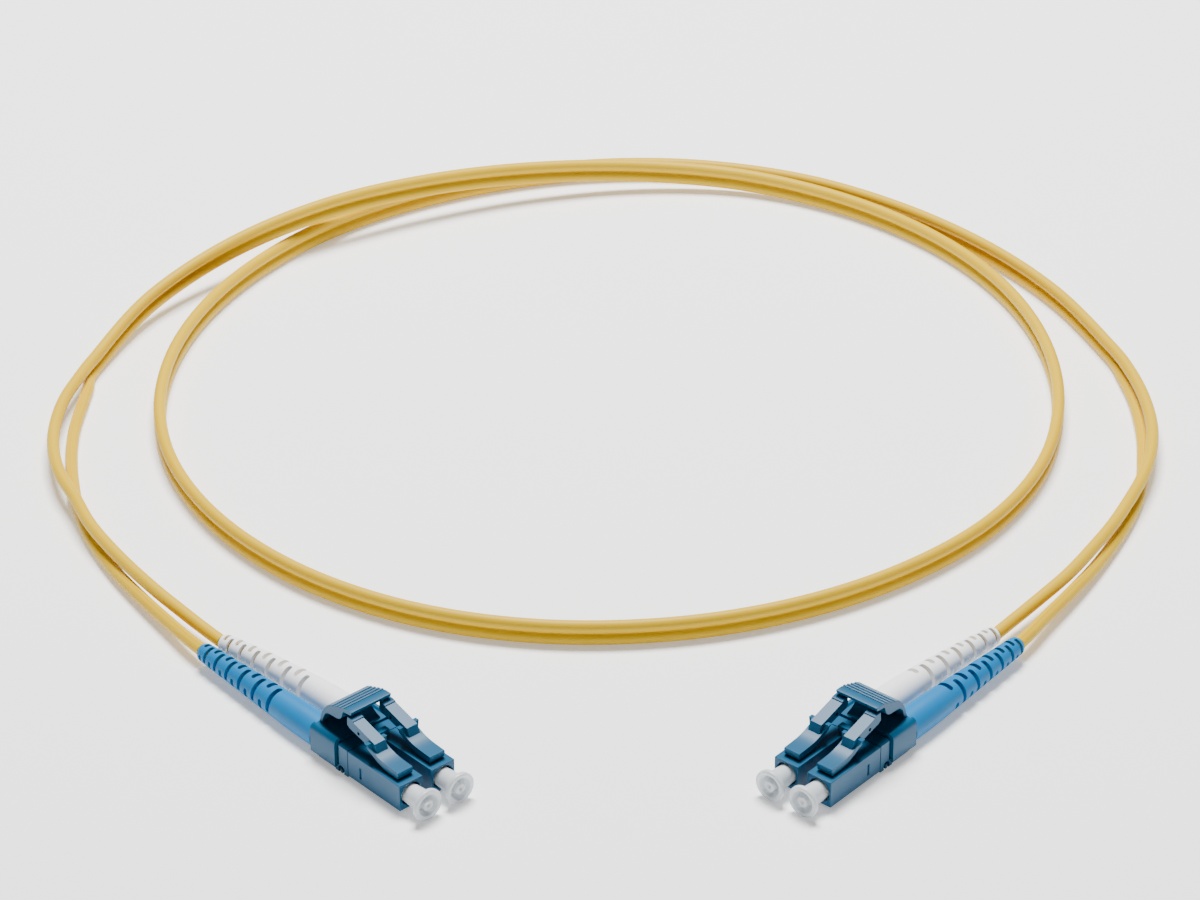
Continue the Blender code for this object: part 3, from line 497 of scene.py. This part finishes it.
# the same in white: some light sinks in, which takes the edge off its shadows
boot_white, tree, shader = start_material(
    "boot_elastomer_white", Roughness=0.45, Specular_IOR_Level=0.25, Subsurface_Weight=0.25,
    Subsurface_Radius=(0.9, 0.8, 0.7), Subsurface_Scale=0.0006)
mottle(tree, shader, 7.14, "#F4F5F8", "#FBFBFD")
mould_grain(tree, shader, 0.111, 0.004)


def bowed(mesh, radius):
    """Bends the mesh sideways to that radius, from the boot's front on."""
    for vert in mesh.vertices:
        if vert.co.x < BOOT_FRONT:
            angle = (BOOT_FRONT - vert.co.x) / radius
            reach = radius - vert.co.y
            vert.co.x = BOOT_FRONT - reach * math.sin(angle)
            vert.co.y = radius - reach * math.cos(angle)


for end, colour, matrix in PLUGS:
    one_boot = boot_mesh.copy()
    one_boot.transform(Matrix.Rotation(math.radians(ROLL[end, colour]), 4, "X"))
    if colour == "white":
        bowed(one_boot, BOW[end])
    place(one_boot, f"{end}_{colour}_bend_boot", matrix,
          boot_blue if colour == "blue" else boot_white, "root", f"{colour}_boot",
          f"{end}_{colour}_boot")

# ----------------------------------------------------------- the plug bodies
# The square plugs that enter the socket: one moulding each, 4.52 mm across,
# with a round mouth for the ferrule and a small slot in each side.
BODY_HALF = 2.26
BODY_BACK = -12.3
SHANK_HALF = 1.75
SHANK_BACK = -19.5
SHANK_LAP = 0.3               # how far the shank runs into the body
# from the front: the wide mouth, the narrow shoulder and the spring's chamber
MOUTH = [(0.3, 0), (0.3, 2.1), (-0.15, 1.9), (-3.3, 1.9), (-3.3, 0.83), (-4.0, 0.83),
         (-4.0, 1.4), (-19.8, 1.4), (-19.8, 0)]


def box(bm, x0, x1, y0, y1, z0, z1):
    """A box between those limits; gives its corners."""
    middle = Matrix.Translation(((x0 + x1) / 2, (y0 + y1) / 2, (z0 + z1) / 2))
    size = Matrix.Diagonal((abs(x1 - x0), abs(y1 - y0), abs(z1 - z0), 1))
    return bmesh.ops.create_cube(bm, size=1, matrix=middle @ size)["verts"]


def box_object(name, *extents):
    """Boxes, each given as its limits x0, x1, y0, y1, z0, z1, as one draft."""
    bm = bmesh.new()
    for extent in extents:
        box(bm, *extent)
    return draft_object(bm, name)


plug = box_object("plug", (BODY_BACK, 0, -BODY_HALF, BODY_HALF, -BODY_HALF, BODY_HALF))
shank = box_object("shank", (SHANK_BACK, BODY_BACK + SHANK_LAP, -SHANK_HALF, SHANK_HALF,
                             -SHANK_HALF, SHANK_HALF))
cut(plug, shank, "UNION")
mouth = turned(MOUTH, sides=40, name="mouth")
cut(plug, mouth)
side_slots = box_object("side_slots", *[
    (-9.52, -9.1, side * 1.95, side * 2.8, -1.28, 0.62) for side in (-1, 1)])
cut(plug, side_slots)
soften(plug, width=0.12, segments=3)
plug_mesh = finished(plug, shank, mouth, side_slots)

# Glass-filled polyester, injection moulded in petrol blue: a smooth hard skin
# that mirrors the lamp softly on top and greys out on its flanks. Its grain too
# is drawn coarser than the real one.
petrol, tree, shader = start_material("petrol_polyester_moulded", Roughness=0.33,
                                      Specular_IOR_Level=0.26)
mottle(tree, shader, 3.85, "#004B6D", "#005377", detail=3.0)
mould_grain(tree, shader, 0.143, 0.003)
for end, colour, matrix in PLUGS:
    place(plug_mesh, f"{end}_{colour}_plug", matrix, petrol, "root", "teal_plastic",
          f"{end}_{colour}_plug_body")

# -------------------------------------------------------------- the latches
# Springy arms moulded with the plugs. The wide root sweeps up from the front in
# a hollow curve to a narrow block with two ears, which clicks into the socket.
EAR_REACH = 1.95
EAR_FOOT = 1.4                # half width where the ears meet the arm's shoulders


def extruded(bm, outline, way):
    """Closes the outline's points to a face and extrudes it that way into a solid."""
    face = bm.faces.new([bm.verts.new(point) for point in outline])
    grown = bmesh.ops.extrude_face_region(bm, geom=[face])["geom"]
    bmesh.ops.translate(bm, vec=way,
                        verts=[v for v in grown if isinstance(v, bmesh.types.BMVert)])


def slab(name, outline, half):
    """An outline of (x, z) points in the plane y = 0, thickened to both sides."""
    bm = bmesh.new()
    extruded(bm, [(x, -half, z) for x, z in outline], (0, 2 * half, 0))
    return draft_object(bm, name)


arm = slab("arm", [
    (-1.4, 2.50), (-1.4, 2.92), (-1.26, 3.02), (-1.26, 3.50), (-1.4, 3.60), (-2.4, 3.64),
    (-3.4, 3.69), (-4.2, 3.74), (-4.9, 3.83), (-5.5, 3.95), (-6.1, 4.12), (-6.6, 4.30),
    (-7.2, 4.56), (-7.9, 4.90), (-8.6, 5.00), (-8.6, 4.42), (-7.4, 3.80), (-6.2, 3.20),
    (-5.2, 2.82), (-4.4, 2.64), (-3.4, 2.53)], half=1.45)
block = slab("block", [
    (-6.52, 3.90), (-6.52, 4.26), (-7.12, 5.62), (-12.2, 7.00), (-12.22, 7.18), (-12.6, 7.24),
    (-12.62, 7.32), (-13.6, 7.34), (-13.7, 5.89), (-13.1, 5.49), (-11.2, 5.06), (-9.3, 4.60),
    (-7.0, 3.70)], half=1.04)
cut(arm, block, "UNION")
# the ears: flat on top, tapering down and inwards to the arm's shoulders
bm = bmesh.new()
for vert in box(bm, -8.62, -7.86, -EAR_REACH, EAR_REACH, 4.45, 5.55):
    if vert.co.z < 5:
        vert.co.y *= EAR_FOOT / EAR_REACH
        vert.co.x += 0.45
ears = draft_object(bm, "ears")
cut(arm, ears, "UNION")


def rod(bm, middle, radius, length, sides):
    """A round rod along y, about that middle."""
    bmesh.ops.create_cone(bm, cap_ends=True, segments=sides, radius1=radius, radius2=radius,
                          depth=length, matrix=Matrix.Translation(middle)
                          @ Matrix.Rotation(math.radians(90), 4, "X"))


bm = bmesh.new()
rod(bm, (-11.0, 0, 5.62), radius=0.28, length=4, sides=24)
pin_hole = draft_object(bm, "pin_hole")
cut(arm, pin_hole)
soften(arm, width=0.07)
latch_mesh = finished(arm, block, ears, pin_hole)
for end, colour, matrix in PLUGS:
    place(latch_mesh, f"{end}_{colour}_latch_arm", matrix, petrol, f"{end}_{colour}_latch",
          "teal_plastic", f"{end}_{colour}_latch")

# --------------------------------------------------------- the duplex clips
# A moulded collar that snaps over both plugs from behind: proud rounded flanks,
# a sunken deck between them, a flush column in front and a rail underneath.
CLIP_BACK = -20.8
CLIP_FOOT = -2.55
FLANK_LENGTH = 5.9
COLUMN_HALF = 5.385
SOCKET_HALF = 1.95
FLANK = [(-5.805, -1.76), (-5.805, 2.05), (-5.62, 2.62), (-5.30, 2.94), (-5.02, 3.05),
         (-4.75, 3.00), (-4.45, 2.72), (-4.3, 2.69)]
bm = bmesh.new()
extruded(bm, [(CLIP_BACK, y, z) for y, z in FLANK]
         + [(CLIP_BACK, -y, z) for y, z in reversed(FLANK)], (FLANK_LENGTH, 0, 0))
collar = draft_object(bm, "collar")
column = box_object("column", (-15.3, -12.36, -COLUMN_HALF, COLUMN_HALF, CLIP_FOOT, 2.26))
rail = box_object("rail", (-19.6, -12.9, -5.2, 5.2, CLIP_FOOT, -1.5))
neck = box_object("neck", (-13.0, -10.95, -0.55, 0.55, 0.3, 2.9))
bar = box_object("bar", (-12.05, -10.95, -1.8, 1.8, 2.56, 3.76))
for tool in (column, rail, neck, bar):
    cut(collar, tool, "UNION")
sockets = box_object("sockets", *[
    (-21.4, -12.45, y - SOCKET_HALF, y + SOCKET_HALF, -SOCKET_HALF, SOCKET_HALF)
    for y in (-PITCH / 2, PITCH / 2)])
cut(collar, sockets)
# a slit parts each flank from the column, with a round dent and a peg low down
slits = box_object("slits", *[(-14.92, -14.45, side * 4.95, side * 6.2, -1.3, 3.3)
                              for side in (-1, 1)])
cut(collar, slits)
bm = bmesh.new()
for side in (-1, 1):
    rod(bm, (-13.9, side * COLUMN_HALF, -2.0), radius=0.75, length=0.7, sides=28)
    rod(bm, (-19.1, side * COLUMN_HALF, -2.1), radius=0.22, length=2.4, sides=28)
dents = draft_object(bm, "dents")
cut(collar, dents)
pegs = box_object("pegs", *[(-14.12, -13.68, side * 4.9, side * 5.36, CLIP_FOOT, -1.85)
                            for side in (-1, 1)])
cut(collar, pegs, "UNION")
soften(collar, width=0.14, segments=3)
collar_mesh = finished(collar, column, rail, neck, bar, sockets, slits, dents, pegs)
for end, matrix in CONNECTORS.items():
    place(collar_mesh, f"{end}_clip_collar", matrix, petrol, "root", "teal_plastic",
          f"{end}_duplex_clip")

# -------------------------------------------------------------- the triggers
# A curved hood rooted at the back of the clip. Its ridged top is pressed by a
# finger, and its lip and tongue push both latches down together.
RIDGES = [(-18.30, 6.94), (-17.36, 7.28), (-16.42, 7.62), (-15.48, 7.96), (-14.54, 8.28)]
teeth = []
for (x, z), (x_next, z_next) in zip(RIDGES, RIDGES[1:]):
    # each ridge climbs to a narrow bright facet and drops into the next groove
    teeth += [(x + 0.05, z), (x_next - 0.30, z_next + 0.02), (x_next - 0.14, z_next - 0.02),
              (x_next - 0.08, z_next - 0.17)]
hood = slab("hood", [
    (-20.80, 2.90), (-20.56, 3.35), (-20.36, 4.10), (-20.05, 4.85), (-19.60, 5.60),
    (-19.05, 6.35), (-18.60, 6.80), *teeth, (-14.50, 8.16),
    (-14.30, 8.27), (-13.06, 8.30), (-12.93, 8.26), (-12.90, 8.16),
    (-13.08, 7.66), (-14.85, 7.46), (-15.05, 7.00), (-15.25, 6.40), (-15.55, 5.90),
    (-15.95, 5.58), (-16.5, 5.42), (-17.2, 5.38), (-18.2, 5.30), (-18.75, 5.18),
    (-19.15, 4.95), (-19.50, 4.50), (-19.75, 3.90), (-19.95, 3.30), (-20.0, 2.90)],
    half=3.9)
tongue = slab("tongue", [
    (-15.30, 6.34), (-14.9, 5.92), (-14.4, 5.50), (-13.8, 5.18), (-13.0, 4.94), (-12.98, 4.60),
    (-13.1, 4.54), (-13.9, 4.72), (-14.6, 4.94), (-15.3, 5.2), (-16.5, 5.49)],
    half=1.75)
cut(hood, tongue, "UNION")
soften(hood, width=0.05, angle=24)
hood_mesh = finished(hood, tongue)
for end, matrix in CONNECTORS.items():
    place(hood_mesh, f"{end}_trigger_hood", matrix, petrol, f"{end}_trigger",
          "teal_plastic", f"{end}_trigger")

# ------------------------------------------------------------- the dust caps
# Milky soft stoppers over the ferrules: a flared barrel, a thin round flange
# and, sunk in its face, a ring-shaped recess round a dimpled boss.
cap = turned([
    (3.72, 0), (3.86, 0.22), (4.02, 0.42), (4.06, 0.62), (4.04, 0.84), (3.96, 0.94),
    (2.72, 0.98), (2.70, 1.10), (2.70, 1.34), (2.80, 1.42), (3.92, 1.76), (4.06, 1.92),
    (4.10, 2.10), (4.10, 2.46), (4.04, 2.57), (3.92, 2.60), (3.52, 2.60), (3.38, 2.56),
    (3.30, 2.44), (3.28, 2.00), (3.16, 1.84), (2.80, 1.78), (1.4, 1.70), (0.3, 1.61),
    (-2.8, 1.60), (-2.9, 1.54), (-2.9, 0.83), (2.0, 0.83), (2.0, 0)],
    sides=64, name="cap")
cap_mesh = finished(cap)

# Low-density polyethylene, moulded without a pigment: milky, so the light spreads
# in it and the rims and the ring show as soft steps of white.
milky, tree, shader = start_material(
    "milky_polyethylene_moulded", Roughness=0.26, IOR=1.51, Transmission_Weight=0.3,
    Subsurface_Weight=0.6, Subsurface_Radius=(1.0, 1.0, 1.0), Subsurface_Scale=0.0008)
mottle(tree, shader, 2.38, "#DBE4EB", "#EDF2F5")
for end, colour, matrix in PLUGS:
    place(cap_mesh, f"{end}_{colour}_stopper", matrix, milky, f"{end}_{colour}_dust_cap",
          "milky_cap", f"{end}_{colour}_dust_cap")

# -------------------------------------------------- the spring in each plug
# Drawn steel wire, coiled with a closed turn at both ends. It pushes its
# ferrule's holder forward, and shortens as a mating ferrule pushes it back.
SPRING_FRONT = -5.8
SPRING_BACK = -11.4
SPRING_RADIUS = 1.1
WIRE = 0.26
WIRE_SIDES = 12
CLOSED_TURN = WIRE + 0.02     # how far a closed turn advances
OPEN_TURNS = 4
TURN_STEPS = 24
bm = bmesh.new()
ring = bmesh.ops.create_circle(
    bm, radius=WIRE / 2, segments=WIRE_SIDES,
    matrix=Matrix.Translation((SPRING_FRONT - WIRE / 2, SPRING_RADIUS, 0)))["verts"]
tip = ring + list({edge for vert in ring for edge in vert.link_edges})
open_run = SPRING_FRONT - SPRING_BACK - WIRE - 2 * CLOSED_TURN
for turns, run in ((1, CLOSED_TURN), (OPEN_TURNS, open_run), (1, CLOSED_TURN)):
    steps = TURN_STEPS * turns
    tip = bmesh.ops.spin(bm, geom=tip, cent=(0, 0, 0), axis=(1, 0, 0),
                         dvec=(-run / steps, 0, 0), angle=2 * math.pi * turns,
                         steps=steps)["geom_last"]
bmesh.ops.holes_fill(bm, edges=bm.edges, sides=WIRE_SIDES)
coil_mesh = finished(draft_object(bm, "coil"))

# bright steel, a little dulled by the die's fine scratches
wire, tree, shader = start_material("spring_steel_drawn", Metallic=1.0, Roughness=0.32)
mottle(tree, shader, 0.333, "#8F9196", "#ABADB2")
for end, colour, matrix in PLUGS:
    coil = place(coil_mesh, f"{end}_{colour}_coil", matrix, wire, "root", "spring_steel",
                 f"{end}_{colour}_spring")
    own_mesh(coil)

# ------------------------------------------------ the pieces inside each plug
# Ceramic ferrules, plated holders, posts and sleeves, buffered fibres and the
# cord's jacket ends keep their CAD solids, true to shape, in real finishes.

# ground zirconia: ivory white with a hard, clear gloss
zirconia, tree, shader = start_material("zirconia_ground", Roughness=0.12, IOR=2.1)
mottle(tree, shader, 1.11, "#EFEDE4", "#F8F7F1")
# turned brass under nickel: a warm grey metal with a soft sheen
plated, tree, shader = start_material("nickel_plated_brass_turned", Metallic=1.0,
                                      Roughness=0.24)
mottle(tree, shader, 0.4, "#B4AFA6", "#CFCBC3")
# extruded buffer tube: plain off-white, satin
buffer, tree, shader = start_material("buffer_tube_extruded", Roughness=0.4, IOR=1.5)
mottle(tree, shader, 1.25, "#E8E6DC", "#F4F3EC")
INNER = {"ferrule": zirconia, "ferrule_holder": plated, "rear_post": plated,
         "crimp_sleeve": plated, "fibre": buffer, "jacket_end": yellow}
for end, colour, _ in PLUGS:
    for inner, finish in INNER.items():
        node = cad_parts[f"{end}_{colour}_{inner}"]
        for slot in node.material_slots:
            slot.material = finish

# ------------------------------------------------------- the table and the light
# A white table that runs out of sight and glows a little, under one soft lamp
# behind and above, as for a cut-out product shot, in a dim white room.
TABLE_HALF = 3.0
LAMP_PLACE = Vector((0.0, 0.36, 0.85))
LAMP_AIM = Vector((0, 0.05, 0))
LAMP_SIZE = (0.44, 0.28)
LAMP_WATTS = 24
ROOM_GLOW = 0.14
bm = bmesh.new()
bmesh.ops.create_grid(bm, x_segments=8, y_segments=8, size=TABLE_HALF)
table_mesh = bpy.data.meshes.new("table")
bm.to_mesh(table_mesh)
bm.free()
table = bpy.data.objects.new("table", table_mesh)
bpy.context.scene.collection.objects.link(table)
# background paper, matt: no gleam, and a glow that lifts the shadows
paper, tree, shader = start_material("white_sweep_paper", Roughness=0.9, Specular_IOR_Level=0.1,
                                     Emission_Strength=0.35)
shader.inputs["Base Color"].default_value = linear("#FAFAFA")
shader.inputs["Emission Color"].default_value = linear("#FFFFFF")
table.data.materials.append(paper)

softbox = bpy.data.lights.new("back_softbox", "AREA")
softbox.shape = "RECTANGLE"
softbox.size, softbox.size_y = LAMP_SIZE
softbox.energy = LAMP_WATTS
lamp = bpy.data.objects.new("back_softbox", softbox)
bpy.context.scene.collection.objects.link(lamp)
lamp.location = LAMP_PLACE
lamp.rotation_euler = (LAMP_AIM - LAMP_PLACE).to_track_quat("-Z", "Y").to_euler()
world = bpy.data.worlds.new("white_room")
world.use_nodes = True
world.node_tree.nodes["Background"].inputs["Color"].default_value = linear("#FFFFFF")
world.node_tree.nodes["Background"].inputs["Strength"].default_value = ROOM_GLOW
bpy.context.scene.world = world
